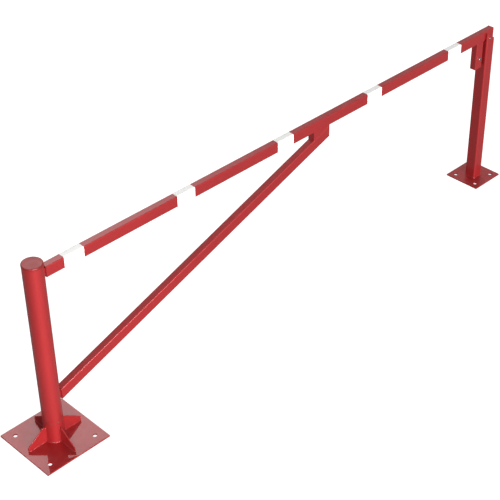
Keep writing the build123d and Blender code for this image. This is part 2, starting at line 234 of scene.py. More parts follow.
@dataclass(frozen=True)
class Finish:
    """A finish with a colour, a second shade it drifts to, and fine relief."""

    name: str
    slot: str
    colour: Colour
    shade: Colour
    roughness: float
    worn_roughness: float
    metallic: float = 0.0
    coat: float = 0.0
    coat_roughness: float = 0.03
    drift_scale: Optional[float] = None  # where it isn't the effect's own
    relief_scale: Optional[float] = None
    relief_depth: float = 0.00002
    dust: float = 0.0
    dust_colour: Colour = (0.42, 0.38, 0.34)
    wear: float = 0.0
    wear_colour: Colour = (0.5, 0.1, 0.08)

    @staticmethod
    def cover(tree: Tree, mask: Socket, under: Socket | Sequence[float], over: Colour) -> Socket:
        """Lay a colour over another through a mask.

        Args:
            tree: the material's tree.
            mask: how strongly the upper colour covers.
            under: the colour below.
            over: the colour laid on top.

        Returns:
            The mixed colour's socket.
        """
        mix = tree.nodes.new("ShaderNodeMix")
        mix.data_type = "RGBA"
        return feed(tree, mix, {0: mask, 6: under, 7: (*over, 1)}).outputs[2]

    def relief(self, tree: Tree) -> Socket:
        """Height of the finish's own relief."""
        return PEEL.add(tree, self.relief_scale)

    def material(self) -> bpy.types.Material:
        """Make the finish's material, or return the one already made."""
        made = bpy.data.materials.get(self.name)
        if made:
            return made
        made = bpy.data.materials.new(self.name)
        made.use_nodes = True
        tree = made.node_tree
        colour = self.cover(tree, DRIFT.add(tree, self.drift_scale), (*self.colour, 1), self.shade)
        layers = ((WEAR, self.wear, self.wear_colour), (DUST, self.dust, self.dust_colour))
        for effect, strength, over in layers:
            if strength:
                mask = remap(tree, effect.add(tree), WHOLE, (0, strength))
                colour = self.cover(tree, mask, colour, over)
        rough = remap(tree, SCUFFS.add(tree), WHOLE, (self.roughness, self.worn_roughness))
        bump = tree.nodes.new("ShaderNodeBump")
        feed(tree, bump, {"Distance": self.relief_depth, "Height": self.relief(tree)})
        feed(tree, tree.nodes["Principled BSDF"], {
            "Base Color": colour,
            "Roughness": rough,
            "Normal": bump.outputs["Normal"],
            "Metallic": self.metallic,
            "Coat Weight": self.coat,
            "Coat Roughness": self.coat_roughness,
        })
        return made


@dataclass(frozen=True)
class PrismFilm(Finish):
    """Reflective film, pressed with a fine net of cells."""

    cell_scale: float = 210.0
    cell_unevenness: float = 0.15
    groove: Span = (0.0, 0.12)

    def relief(self, tree: Tree) -> Socket:
        """Height of the pressed cells."""
        place = tree.nodes.new("ShaderNodeTexCoord").outputs["Object"]
        cells = tree.nodes.new("ShaderNodeTexVoronoi")
        cells.feature = "DISTANCE_TO_EDGE"
        feed(tree, cells, {
            "Vector": place, "Scale": self.cell_scale, "Randomness": self.cell_unevenness,
        })
        return remap(tree, cells.outputs["Distance"], self.groove)


class Finishes(Enum):
    """The finishes on the gate."""

    RED = Finish(
        "red_enamel", "red_paint", (0.36, 0.014, 0.016), (0.33, 0.012, 0.014), 0.54, 0.60,
        metallic=0.5, coat=0.65, dust=0.05, wear=0.35,
        relief_depth=0.000012,
    )
    CAP = Finish(
        "red_cap", "red_paint", (0.32, 0.013, 0.015), (0.22, 0.011, 0.013), 0.46, 0.60,
        metallic=0.5, coat=0.30, coat_roughness=0.10, drift_scale=26.0, dust=0.10, wear=0.35,
        relief_depth=0.000012,
    )
    FILM = PrismFilm(
        "white_film", "white_film", (0.86, 0.86, 0.85), (0.82, 0.82, 0.81), 0.30, 0.40,
        coat=0.4, coat_roughness=0.15, relief_depth=0.00003, dust=0.12,
    )
    ZINC = Finish(
        "zinc_plate", "bare_steel", (0.66, 0.66, 0.67), (0.50, 0.50, 0.53), 0.24, 0.42,
        metallic=1.0, drift_scale=90.0, relief_scale=900.0, relief_depth=0.000006,
        wear=0.3, wear_colour=(0.8, 0.8, 0.8),
    )
    BEARING = Finish(
        "bearing_plastic", "bush_plastic", (0.028, 0.028, 0.030), (0.045, 0.045, 0.047), 0.42, 0.55,
        drift_scale=60.0, relief_scale=1200.0, relief_depth=0.00001,
    )
    RUBBER = Finish(
        "moulded_rubber", "black_rubber", (0.018, 0.018, 0.018), (0.035, 0.034, 0.033), 0.62, 0.8,
        drift_scale=150.0, relief_scale=1500.0, relief_depth=0.00003, dust=0.25,
    )


# ---------------------------------------------------------------- a piece on the bench


def only(kind: type, geometry: Sequence) -> list:
    """Keep the elements of one kind, in order."""
    return [element for element in geometry if isinstance(element, kind)]


def faces_at(verts: Sequence[Vert]) -> set[bmesh.types.BMFace]:
    """The faces that meet any of the vertices."""
    return {face for vert in verts for face in vert.link_faces}


@dataclass
class Workpiece:
    """One piece while it is shaped, step by step, then delivered onto its body."""

    name: str
    body: Body = Body.POSTS
    finish: Finishes = Finishes.RED
    stands_for: tuple[str, ...] = ()
    metal: bmesh.types.BMesh = field(default_factory=bmesh.new)
    least_corner: float = 0.001  # radius of a tube's inside corner, at least
    corner_steps: int = 6
    bead_sides: int = 10
    flat_weight: int = 90  # how strongly large flat faces set the shading

    def copy_of(self, node: str) -> "Workpiece":
        """Take a merged copy of a CAD node's shape.

        Args:
            node: the CAD node to copy.
        """
        self.metal.from_mesh(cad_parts[node].data)
        bmesh.ops.remove_doubles(self.metal, verts=self.metal.verts[:], dist=MERGE)
        return self.flattened()

    def flattened(self) -> "Workpiece":
        """Join the facets that lie in one plane."""
        bmesh.ops.dissolve_limit(
            self.metal, angle_limit=FLAT, verts=self.metal.verts[:], edges=self.metal.edges[:],
            delimit=set(),
        )
        return self

    def turned_out(self) -> "Workpiece":
        """Turn every face outwards."""
        bmesh.ops.recalc_face_normals(self.metal, faces=self.metal.faces[:])
        return self

    def tube(
        self, width: float, height: float, corner: float, wall: float, start: float, end: float
    ) -> "Workpiece":
        """Add a rectangular tube along X, centred on the X axis and open at both ends.

        Args:
            width: size along Y.
            height: size along Z.
            corner: outside corner radius.
            wall: wall thickness.
            start: X of the near end.
            end: X of the far end.
        """
        rings = []
        for inset in (0.0, wall):
            made = bmesh.ops.create_cube(self.metal, size=1)["verts"]
            size = Vector((end - start, width - 2 * inset, height - 2 * inset))
            bmesh.ops.scale(self.metal, vec=size, verts=made)
            bmesh.ops.translate(self.metal, vec=((start + end) / 2, 0, 0), verts=made)
            ends = [f for f in faces_at(made) if abs(f.normal.x) > 0.9]
            bmesh.ops.delete(self.metal, geom=ends, context="FACES_ONLY")
            edges = {e for v in made for e in v.link_edges}
            lengthwise = [e for e in edges if abs(e.verts[0].co.x - e.verts[1].co.x) > NEAR]
            rounded = bmesh.ops.bevel(
                self.metal, geom=lengthwise, offset=max(corner - inset, self.least_corner),
                segments=self.corner_steps, profile=0.5, affect="EDGES", material=-1,
            )
            walls = faces_at(rounded["verts"])
            if inset:
                bmesh.ops.reverse_faces(self.metal, faces=list(walls))
            rings.append({e for f in walls for e in f.edges if e.is_boundary})
        for x in (start, end):
            loops = [e for ring in rings for e in ring if abs(e.verts[0].co.x - x) < NEAR]
            bmesh.ops.bridge_loops(self.metal, edges=loops)
        return self.turned_out()

    def turned(self, profile: Sequence[tuple[float, float]], steps: int = 128) -> "Workpiece":
        """Turn a closed profile about the Z axis.

        Args:
            profile: radius and height of each corner.
            steps: facets round the axis.
        """
        corners = [self.metal.verts.new((r, 0, z)) for r, z in profile]
        edges = [self.metal.edges.new(pair) for pair in zip(corners, corners[1:] + corners[:1])]
        bmesh.ops.spin(
            self.metal, geom=corners + edges, axis=(0, 0, 1), cent=(0, 0, 0),
            angle=math.tau, steps=steps, use_merge=True, use_duplicate=False,
        )
        bmesh.ops.remove_doubles(self.metal, verts=self.metal.verts[:], dist=NEAR)
        return self.turned_out()

    def ring(self, inner: float, outer: float, low: float, high: float) -> "Workpiece":
        """Turn an upright ring about the Z axis.

        Args:
            inner: bore radius.
            outer: outside radius.
            low: height of its underside.
            high: height of its top.
        """
        return self.turned([(outer, low), (outer, high), (inner, high), (inner, low)])

    def plate(
        self, side: float, thickness: float, centre: float, holes: Sequence[Point]
    ) -> "Workpiece":
        """Add a square plate on the ground with round holes through it.

        Args:
            side: length of each side.
            thickness: plate thickness.
            centre: X of its middle.
            holes: X and Y from the middle, and radius, of each hole.
        """
        sheet = bmesh.ops.create_grid(self.metal, x_segments=1, y_segments=1, size=side / 2)
        bmesh.ops.delete(self.metal, geom=list(faces_at(sheet["verts"])), context="FACES_ONLY")
        for x, y, radius in holes:
            bmesh.ops.create_circle(
                self.metal, cap_ends=False, segments=64, radius=radius,
                matrix=Matrix.Translation((x, y, 0)),
            )
        rims = self.metal.edges[:]
        bmesh.ops.triangle_fill(self.metal, use_beauty=True, use_dissolve=False, edges=rims)
        grown = bmesh.ops.extrude_face_region(self.metal, geom=self.metal.faces[:])["geom"]
        raised = only(Vert, grown)
        bmesh.ops.translate(self.metal, vec=(0, 0, thickness), verts=raised)
        return self.moved(Matrix.Translation((centre, 0, 0))).turned_out()

    def slab(self, outline: Sequence[Point], thickness: float) -> list[Vert]:
        """Add a flat slab that stands along X.

        Args:
            outline: its corners, in order.
            thickness: its size along Y.

        Returns:
            The slab's vertices.
        """
        across = Vector((0, thickness, 0))
        corners = [self.metal.verts.new(Vector(p) - across / 2) for p in outline]
        face = self.metal.faces.new(corners)
        grown = bmesh.ops.extrude_face_region(self.metal, geom=[face])["geom"]
        raised = only(Vert, grown)
        bmesh.ops.translate(self.metal, vec=across, verts=raised)
        verts = list(set(corners) | set(raised))
        bmesh.ops.recalc_face_normals(self.metal, faces=list(faces_at(verts)))
        return verts

    def bead(self, path: Sequence[Point], radius: float, closed: bool = False) -> "Workpiece":
        """Lay a rippled weld bead along a path, half sunk into the metal on both sides.

        Args:
            path: points along the joint.
            radius: radius of the bead.
            closed: whether the path returns to its start.
        """
        points = Seam.stations(path, closed)
        last = len(points) - 1
        heading = (points[1] - points[0]).normalized()
        place = Matrix.Translation(points[0]) @ heading.to_track_quat("Z", "Y").to_matrix().to_4x4()
        size = Seam.swell(points[0], 0, last, closed)
        start = bmesh.ops.create_circle(
            self.metal, cap_ends=not closed, segments=self.bead_sides, radius=radius * size,
            matrix=place,
        )["verts"]
        ring = list({e for v in start for e in v.link_edges})
        for index in range(1, last + 1):
            grown = bmesh.ops.extrude_edge_only(self.metal, edges=ring)["geom"]
            verts, ring = only(Vert, grown), only(Edge, grown)
            ahead = points[min(index + 1, last)] - points[index - 1 if index == last else index]
            if closed and index == last:
                ahead = points[1] - points[0]
            turn = heading.rotation_difference(ahead.normalized()).to_matrix().to_4x4()
            now = Seam.swell(points[0 if closed and index == last else index], index, last, closed)
            step = (
                Matrix.Translation(points[index]) @ turn
                @ Matrix.Scale(now / size, 4) @ Matrix.Translation(-points[index - 1])
            )
            bmesh.ops.transform(self.metal, matrix=step, verts=verts)
            heading, size = ahead.normalized(), now
        if not closed:
            bmesh.ops.edgeloop_fill(self.metal, edges=ring)
        bmesh.ops.remove_doubles(self.metal, verts=self.metal.verts[:], dist=2 * NEAR)
        return self.turned_out()

    def cut(self, place: float, side: int) -> "Workpiece":
        """Saw the piece off across X and close the cut tube wall.

        Args:
            place: X of the cut.
            side: 1 where the +X side falls away, -1 where the -X side does.
        """
        everything = self.metal.verts[:] + self.metal.edges[:] + self.metal.faces[:]
        sawn = bmesh.ops.bisect_plane(
            self.metal, geom=everything, dist=NEAR / 10, plane_co=(place, 0, 0),
            plane_no=(side, 0, 0), clear_outer=True,
        )["geom_cut"]
        rims = [e for e in only(Edge, sawn) if e.is_boundary]
        bmesh.ops.bridge_loops(self.metal, edges=rims)
        return self.turned_out()

    def carve(self, cutter: "Workpiece") -> "Workpiece":
        """Take another shape out of this one.

        Args:
            cutter: the shape to take out; it is used up.
        """
        objects = []
        for piece in (self, cutter):
            mesh = bpy.data.meshes.new(f"{piece.name}_blank")
            piece.metal.to_mesh(mesh)
            objects.append(stand(mesh.name, mesh))
        change = objects[0].modifiers.new("carve", "BOOLEAN")
        change.operation = "DIFFERENCE"
        change.solver = "EXACT"
        change.object = objects[1]
        result = objects[0].evaluated_get(bpy.context.evaluated_depsgraph_get())
        self.metal.clear()
        self.metal.from_mesh(result.to_mesh())
        result.to_mesh_clear()
        for thing in objects:
            bpy.data.meshes.remove(thing.data)
        return self.flattened()

    def moved(self, matrix: Matrix) -> "Workpiece":
        """Move everything made so far."""
        bmesh.ops.transform(self.metal, matrix=matrix, verts=self.metal.verts[:])
        return self

    def soften(self, width: float, segments: int = 3) -> "Workpiece":
        """Round every sharp edge and mark the rounding as rim.

        Args:
            width: width of the rounding.
            segments: steps across it.
        """
        layers = self.metal.loops.layers.float
        rim = layers.get("rim") or layers.new("rim")
        sharp = [e for e in self.metal.edges if e.is_manifold and e.calc_face_angle(0) > ROUNDED]
        done = bmesh.ops.bevel(
            self.metal, geom=sharp, offset=width, segments=segments, profile=0.5,
            affect="EDGES", clamp_overlap=True, material=-1,
        )
        for face in done["faces"]:
            for loop in face.loops:
                loop[rim] = 1.0
        return self

    def deliver(self) -> None:
        """Make the object, dress it, put it on its body and report it."""
        for edge in self.metal.edges:
            edge.smooth = edge.calc_face_angle(0) < CREASED
        for face in self.metal.faces:
            face.smooth = True
        mesh = bpy.data.meshes.new(self.name)
        self.metal.to_mesh(mesh)
        self.metal.free()
        thing = stand(self.name, mesh)
        even = thing.modifiers.new("even_normals", "WEIGHTED_NORMAL")
        even.keep_sharp = True
        even.weight = self.flat_weight
        mesh.materials.append(self.finish.value.material())
        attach(thing, self.body.value)
        if self.stands_for:
            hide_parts(*self.stands_for)
        log.info("%s: %d faces on %s", self.name, len(mesh.polygons), self.body.value)


class Seam:
    """Helpers for the line and the swell of a weld bead."""

    pitch = 0.0012  # distance between stations
    size = 0.95  # mean size, as a share of the stated radius
    ripple = 0.07
    ripple_length = 3  # in stations
    lump = 0.16
    lump_scale = 180
    tip = 0.45  # size at an open end
    tip_growth = 0.2  # growth from there, per station

    @classmethod
    def stations(cls, path: Sequence[Point], closed: bool) -> list[Vector]:
        """Spread points evenly along a path.

        Args:
            path: the path's corners.
            closed: whether it returns to its start.

        Returns:
            The points, with the first repeated at the end of a closed path.
        """
        corners = [Vector(p) for p in path] + ([Vector(path[0])] if closed else [])
        points = corners[:1]
        for a, b in zip(corners, corners[1:]):
            count = max(1, round((b - a).length / cls.pitch))
            points += [a.lerp(b, (i + 1) / count) for i in range(count)]
        return points

    @classmethod
    def swell(cls, point: Vector, index: int, last: int, closed: bool) -> float:
        """Relative size of the bead at one station.

        Args:
            point: the station.
            index: its number.
            last: the last station's number.
            closed: whether the bead is a closed loop.

        Returns:
            A factor near 1, less at the ends of an open bead.
        """
        wave = math.sin(index * math.tau / cls.ripple_length) if 0 < index < last else 0.0
        lump = cls.lump * noise.noise(point * cls.lump_scale)
        from_end = min(index, last - index)
        taper = 1.0 if closed else min(1.0, cls.tip + cls.tip_growth * from_end)
        return (cls.size + cls.ripple * wave + lump) * taper

    @staticmethod
    def circle(radius: float, height: float, count: int = 96) -> list[Point]:
        """Points on a level circle about the hinge axis."""
        turns = (math.tau * i / count for i in range(count))
        return [(radius * math.cos(a), radius * math.sin(a), height) for a in turns]


# ---------------------------------------------------------------- sub-assemblies


def dress(name: str, body: Body, finish: Finishes, node: str, width: float) -> None:
    """Round off a CAD node's own shape and deliver it.

    Args:
        name: the piece's name.
        body: the body it rides.
        finish: its finish.
        node: the CAD node it copies and stands for.
        width: width of its rounded edges.
    """
    Workpiece(name, body, finish, (node,)).copy_of(node).soften(width, 2).deliver()


@dataclass
class GroundPost:
    """A square base plate with four bolt holes and a drain, for a post to stand on."""

    centre: float = 0.0
    plate_side: float = 0.380
    plate_thickness: float = 0.008
    plate_edge: float = 0.0008
    bolt_pitch: float = 0.275
    bolt_radius: float = 0.011
    drain_radius: float = 0.020

    def base_plate(self, name: str, node: str) -> None:
        """Build the plate.

        Args:
            name: the piece's name.
            node: the CAD node it stands for.
        """
        half = self.bolt_pitch / 2
        holes = [(sx * half, sy * half, self.bolt_radius) for sx, sy in CORNERS]
        plate = Workpiece(name, Body.POSTS, Finishes.RED, (node,))
        holes.append((0, 0, self.drain_radius))
        plate.plate(self.plate_side, self.plate_thickness, self.centre, holes)
        plate.soften(self.plate_edge).deliver()


@dataclass
class HingeFoot(GroundPost):
    """Base plate, foot tube and gussets that stand on the ground."""

    bore_radius: float = 0.04465
    height: float = 0.122
    tube_edge: float = 0.0006
    gusset_reach: float = 0.160
    gusset_height: float = 0.090
    gusset_nose: float = 0.022
    gusset_top: float = 0.0638
    gusset_thickness: float = 0.005
    gusset_edge: float = 0.0009
    bead_radius: float = 0.0036
    gusset_bead: float = 0.00306
    bead_end: float = 0.003  # how far the beads stop short of the gussets' ends
    bead_sink: float = 0.0002

    def build(self) -> None:
        """Build every piece of the foot."""
        self.base_plate("hinge_plate", "hinge_base_plate")
        low = self.plate_thickness
        stub = Workpiece("foot_stub", Body.POSTS, Finishes.RED, ("foot_tube",))
        stub.ring(self.bore_radius, POST_RADIUS, low, low + self.height)
        stub.soften(self.tube_edge).deliver()
        self.gussets()
        self.beads()

    def gussets(self) -> None:
        """Build the four gussets."""
        low = self.plate_thickness
        ribs = Workpiece("gussets", Body.POSTS, Finishes.RED, ("foot_gussets",))
        inside = math.sqrt(POST_RADIUS**2 - (self.gusset_thickness / 2) ** 2)
        outline = [
            (inside, 0, low),
            (self.gusset_reach, 0, low),
            (self.gusset_reach, 0, low + self.gusset_nose),
            (self.gusset_top, 0, low + self.gusset_height),
            (inside, 0, low + self.gusset_height),
        ]
        for turn in range(4):
            verts = ribs.slab(outline, self.gusset_thickness)
            about = Matrix.Rotation(math.radians(90 * turn), 3, "Z")
            bmesh.ops.rotate(ribs.metal, verts=verts, cent=(0, 0, 0), matrix=about)
        ribs.soften(self.gusset_edge).deliver()

    def beads(self) -> None:
        """Lay the weld beads of the foot."""
        low = self.plate_thickness
        welds = Workpiece("foot_welds")
        welds.bead(Seam.circle(POST_RADIUS, low), self.bead_radius, closed=True)
        half, short = self.gusset_thickness / 2, self.bead_end
        inner, outer = POST_RADIUS - self.bead_sink, self.gusset_reach - short
        bottom, top = low + short, low + self.gusset_height - short
        for turn in range(4):
            about = Matrix.Rotation(math.radians(90 * turn), 4, "Z")
            for side in (-half, half):
                along = ((POST_RADIUS, side, low), (outer, side, low))
                upright = ((inner, side, bottom), (inner, side, top))
                for path in (along, upright):
                    welds.bead([about @ Vector(p) for p in path], self.gusset_bead)
        welds.deliver()


@dataclass
class Pivot:
    """The fixed tube inside the sleeve, its bearings and what holds the sleeve down."""

    radius: float = 0.04445
    wall: float = 0.005
    low: float = 0.008
    high: float = 1.000
    edge: float = 0.0003
    head_thickness: float = 0.012
    head_clearance: float = 0.00005
    bore: float = 0.0081
    washer_radius: float = 0.046
    washer_thickness: float = 0.006
    washer_clearance: float = 0.0001
    thrust_low: float = 0.130
    thrust_high: float = 0.132
    thrust_radius: float = 0.0506
    thrust_clearance: float = 0.0002
    bush_inner: float = 0.04455
    bush_outer: float = 0.04675
    bush_length: float = 0.060
    lower_bush: float = 0.1323
    upper_bush: float = 0.9397

    def build(self) -> None:
        """Build every piece of the pivot."""
        posts, gate = Body.POSTS, Body.GATE
        red, zinc, plastic = Finishes.RED, Finishes.ZINC, Finishes.BEARING
        inside, top = self.radius - self.wall, self.high
        head = (self.bore, inside - self.head_clearance, top - self.head_thickness, top)
        washer_bore = self.bore + self.washer_clearance
        washer = (washer_bore, self.washer_radius, top, top + self.washer_thickness)
        thrust_bore = self.radius + self.thrust_clearance
        thrust = (thrust_bore, self.thrust_radius, self.thrust_low, self.thrust_high)
        lower, upper = (
            (self.bush_inner, self.bush_outer, low, low + self.bush_length)
            for low in (self.lower_bush, self.upper_bush)
        )
        for name, body, finish, node, size in (
            ("pivot", posts, red, "pivot_tube", (inside, self.radius, self.low, top)),
            ("pivot_plug", posts, red, "pivot_head", head),
            ("keep_washer", posts, zinc, "retaining_washer", washer),
            ("thrust_ring", posts, plastic, "thrust_washer", thrust),
            ("lower_bush_ring", gate, plastic, "lower_bush", lower),
            ("upper_bush_ring", gate, plastic, "upper_bush", upper),
        ):
            Workpiece(name, body, finish, (node,)).ring(*size).soften(self.edge, 2).deliver()
        dress("keep_bolt", posts, zinc, "retaining_bolt", self.edge)


@dataclass
class Sleeve:
    """The tube that turns on the pivot, closed by its cap."""

    wall: float = 0.004
    low: float = 0.1323
    high: float = 1.0443
    edge: float = 0.0006
    cap_radius: float = 0.0517
    cap_top: float = 1.0543
    cap_rounding: float = 0.005
    cap_edge: float = 0.0004
    spigot_depth: float = 0.015
    spigot_wall: float = 0.004
    spigot_clearance: float = 0.0002

    def build(self) -> None:
        """Build the sleeve and its cap."""
        bore = POST_RADIUS - self.wall
        tube = Workpiece("sleeve", Body.GATE, Finishes.RED, ("hinge_sleeve",))
        tube.ring(bore, POST_RADIUS, self.low, self.high).soften(self.edge).deliver()
        cap = Workpiece("cap", Body.GATE, Finishes.CAP, ("post_cap",))
        plug, step = bore - self.spigot_clearance, self.cap_rounding
        turns = (math.radians(turn) for turn in range(0, 91, 10))
        rounding = [
            (self.cap_radius - step + step * math.cos(a), self.cap_top - step + step * math.sin(a))
            for a in turns
        ]
        inside = self.high - self.spigot_depth
        hollow = plug - self.spigot_wall
        cap.turned(
            [(self.cap_radius, self.high), *rounding, (0, self.cap_top), (0, self.high)]
            + [(hollow, self.high), (hollow, inside), (plug, inside), (plug, self.high)]
        )
        cap.soften(self.cap_edge, 2).deliver()


@dataclass
class GateTube:
    """What beam and brace share: one rectangular tube, and a pad that joins it to the sleeve."""

    width: float = 0.040
    height: float = 0.060
    corner: float = 0.005
    wall: float = 0.003
    edge: float = 0.0004
    root: float = 0.0573
    root_plate: float = 0.004
    end_plate: float = 0.003
    pad_half_width: float = 0.012
    pad_bead: float = 0.0024

    def pad_beads(self, welds: Workpiece, middle: float, reach: float) -> None:
        """Lay the two upright beads beside a pad.

        Args:
            welds: the piece they belong to.
            middle: height of their middle.
            reach: how far they go above and below it.
        """
        touch = math.sqrt(POST_RADIUS**2 - self.pad_half_width**2)
        for side in (-self.pad_half_width, self.pad_half_width):
            ends = [(touch, side, middle + z) for z in (-reach, reach)]
            welds.bead(ends, self.pad_bead)


@dataclass
class Beam(GateTube):
    """The level tube, its ends, its white bands and the pads behind it."""

    end: float = 3.325
    band_start: float = 0.159
    band_width: float = 0.114
    band_pitch: float = 0.687
    band_count: int = 5
    band_edge: float = 0.00012
    film: float = 0.0004
    plate_bead: float = 0.0016
    bead_inset: float = 0.0014
    pad_bead_reach: float = 0.019

    def build(self) -> None:
        """Build every piece of the beam."""
        axis = BEAM_UNDERSIDE + self.height / 2
        lift = Matrix.Translation((0, 0, axis))
        joints = (self.root + self.root_plate, self.end - self.end_plate)
        tube = Workpiece("beam", Body.GATE, Finishes.RED, ("beam_tube",))
        tube.tube(self.width, self.height, self.corner, self.wall, *joints)
        tube.soften(self.edge, 2).moved(lift).deliver()
        for node, width in (
            ("beam_root_plate", 0.0006), ("beam_end_plate", 0.0006), ("beam_root_pad", 0.0008),
        ):
            dress(node + "_face", Body.GATE, Finishes.RED, node, width)
        self.bands(lift)
        self.beads(joints, axis)

    def bands(self, lift: Matrix) -> None:
        """Wrap the white bands round the tube.

        Args:
            lift: the move up to the beam's height.
        """
        film = self.film
        wraps = Workpiece("white_bands", Body.GATE, Finishes.FILM, ("reflective_bands",))
        for index in range(self.band_count):
            start = self.band_start + index * self.band_pitch
            wraps.tube(
                self.width + 2 * film, self.height + 2 * film, self.corner + film, film,
                start, start + self.band_width,
            )
        wraps.soften(self.band_edge, 2).moved(lift).deliver()

    def beads(self, joints: Sequence[float], axis: float) -> None:
        """Lay the beads round the end plates and beside the pad.

        Args:
            joints: X of the tube's two ends.
            axis: height of its middle.
        """
        welds = Workpiece("beam_welds", Body.GATE)
        y, z = self.width / 2 - self.bead_inset, self.height / 2 - self.bead_inset
        for x in joints:
            loop = [(x, sy * y, axis + sz * z) for sy, sz in CORNERS]
            welds.bead(loop, self.plate_bead, closed=True)
        self.pad_beads(welds, axis, self.pad_bead_reach)
        welds.deliver()


@dataclass
class Brace(GateTube):
    """The sloping tube from the foot of the sleeve to the middle of the beam."""

    angle: float = 19.55
    head: float = 1.920
    head_gap: float = 0.006
    plate_edge: float = 0.0006
    blank: Span = (-0.2, 2.3)  # ends of the tube before it is sawn off
    block_length: float = 0.120
    block_bead: float = 0.0026
    bead_inset: float = 0.0016
    bead_rise: float = 0.0012
    pad_bead_reach: float = 0.020

    def top_at(self, x: float) -> float:
        """Height of the brace's upper edge at a distance from the hinge axis."""
        fall = (self.head - x) * math.tan(math.radians(self.angle))
        return BEAM_UNDERSIDE - self.head_gap - fall

    def build(self) -> None:
        """Build every piece of the brace."""
        tilt = math.radians(self.angle)
        depth = self.height / math.cos(tilt)
        tube = Workpiece("brace", Body.GATE, Finishes.RED, ("brace_tube",))
        tube.tube(self.width, self.height, self.corner, self.wall, *self.blank)
        middle = self.top_at(0) - depth / 2
        tube.moved(Matrix.Translation((0, 0, middle)) @ Matrix.Rotation(-tilt, 4, "Y"))
        tube.cut(self.head - self.end_plate, 1).cut(self.root + self.root_plate, -1)
        tube.soften(self.edge, 2).deliver()
        for node in ("brace_root_plate", "brace_head_plate", "brace_root_pad", "brace_head_block"):
            dress(node + "_face", Body.GATE, Finishes.RED, node, self.plate_edge)
        self.beads(depth)

    def beads(self, depth: float) -> None:
        """Lay the beads along the head block and beside the pad.

        Args:
            depth: upright height of the sloping tube.
        """
        welds = Workpiece("brace_welds", Body.GATE)
        ends = (self.head - self.block_length, self.head)
        y, rise = self.width / 2 - self.bead_inset, self.bead_rise
        paths = []
        for side in (-y, y):
            paths.append([(x, side, BEAM_UNDERSIDE + rise) for x in ends])
            paths.append([(x, side, self.top_at(x) - rise) for x in ends])
        paths += [[(x, side, BEAM_UNDERSIDE) for side in (-y, y)] for x in ends]
        paths.append([(ends[0], side, self.top_at(ends[0])) for side in (-y, y)])
        for path in paths:
            welds.bead(path, self.block_bead)
        self.pad_beads(welds, self.top_at(self.root) - depth / 2, self.pad_bead_reach)
        welds.deliver()


@dataclass
class Lock:
    """The housing under the beam, the key spindle and the sliding bolt."""

    centre: float = 3.208
    length: float = 0.060
    width: float = 0.040
    drop: float = 0.167
    floor_thickness: float = 0.003
    beam_bead: float = 0.0024
    floor_bead: float = 0.0015
    end_inset: float = 0.001
    side_inset: float = 0.0014

    def build(self) -> None:
        """Build every piece of the lock."""
        gate, key, red, zinc = Body.GATE, Body.KEY, Finishes.RED, Finishes.ZINC
        for name, body, finish, node, width in (
            ("lock_case", gate, red, "lock_housing", 0.0005),
            ("lock_floor", gate, red, "lock_bottom_plate", 0.0004),
            ("key_boss", gate, zinc, "spindle_bearing", 0.0006),
            ("bolt_track", gate, zinc, "bolt_guide", 0.0004),
            ("key_post", key, zinc, "lock_spindle", 0.0003),
            ("throw_disc", key, zinc, "lock_crank", 0.0003),
            ("throw_pin", key, zinc, "crank_pin", 0.0003),
            ("sliding_bolt", Body.BOLT, zinc, "lock_bolt", 0.0004),
        ):
            dress(name, body, finish, node, width)
        self.beads()

    def beads(self) -> None:
        """Lay the beads where the housing meets the beam and its own floor."""
        welds = Workpiece("lock_welds", Body.GATE)
        x, y = self.length / 2 - self.end_inset, self.width / 2 - self.side_inset
        floor = BEAM_UNDERSIDE - self.drop + self.floor_thickness
        for height, radius in ((BEAM_UNDERSIDE, self.beam_bead), (floor, self.floor_bead)):
            loop = [(self.centre + sx * x, sy * y, height) for sx, sy in CORNERS]
            welds.bead(loop, radius, closed=True)
        welds.deliver()


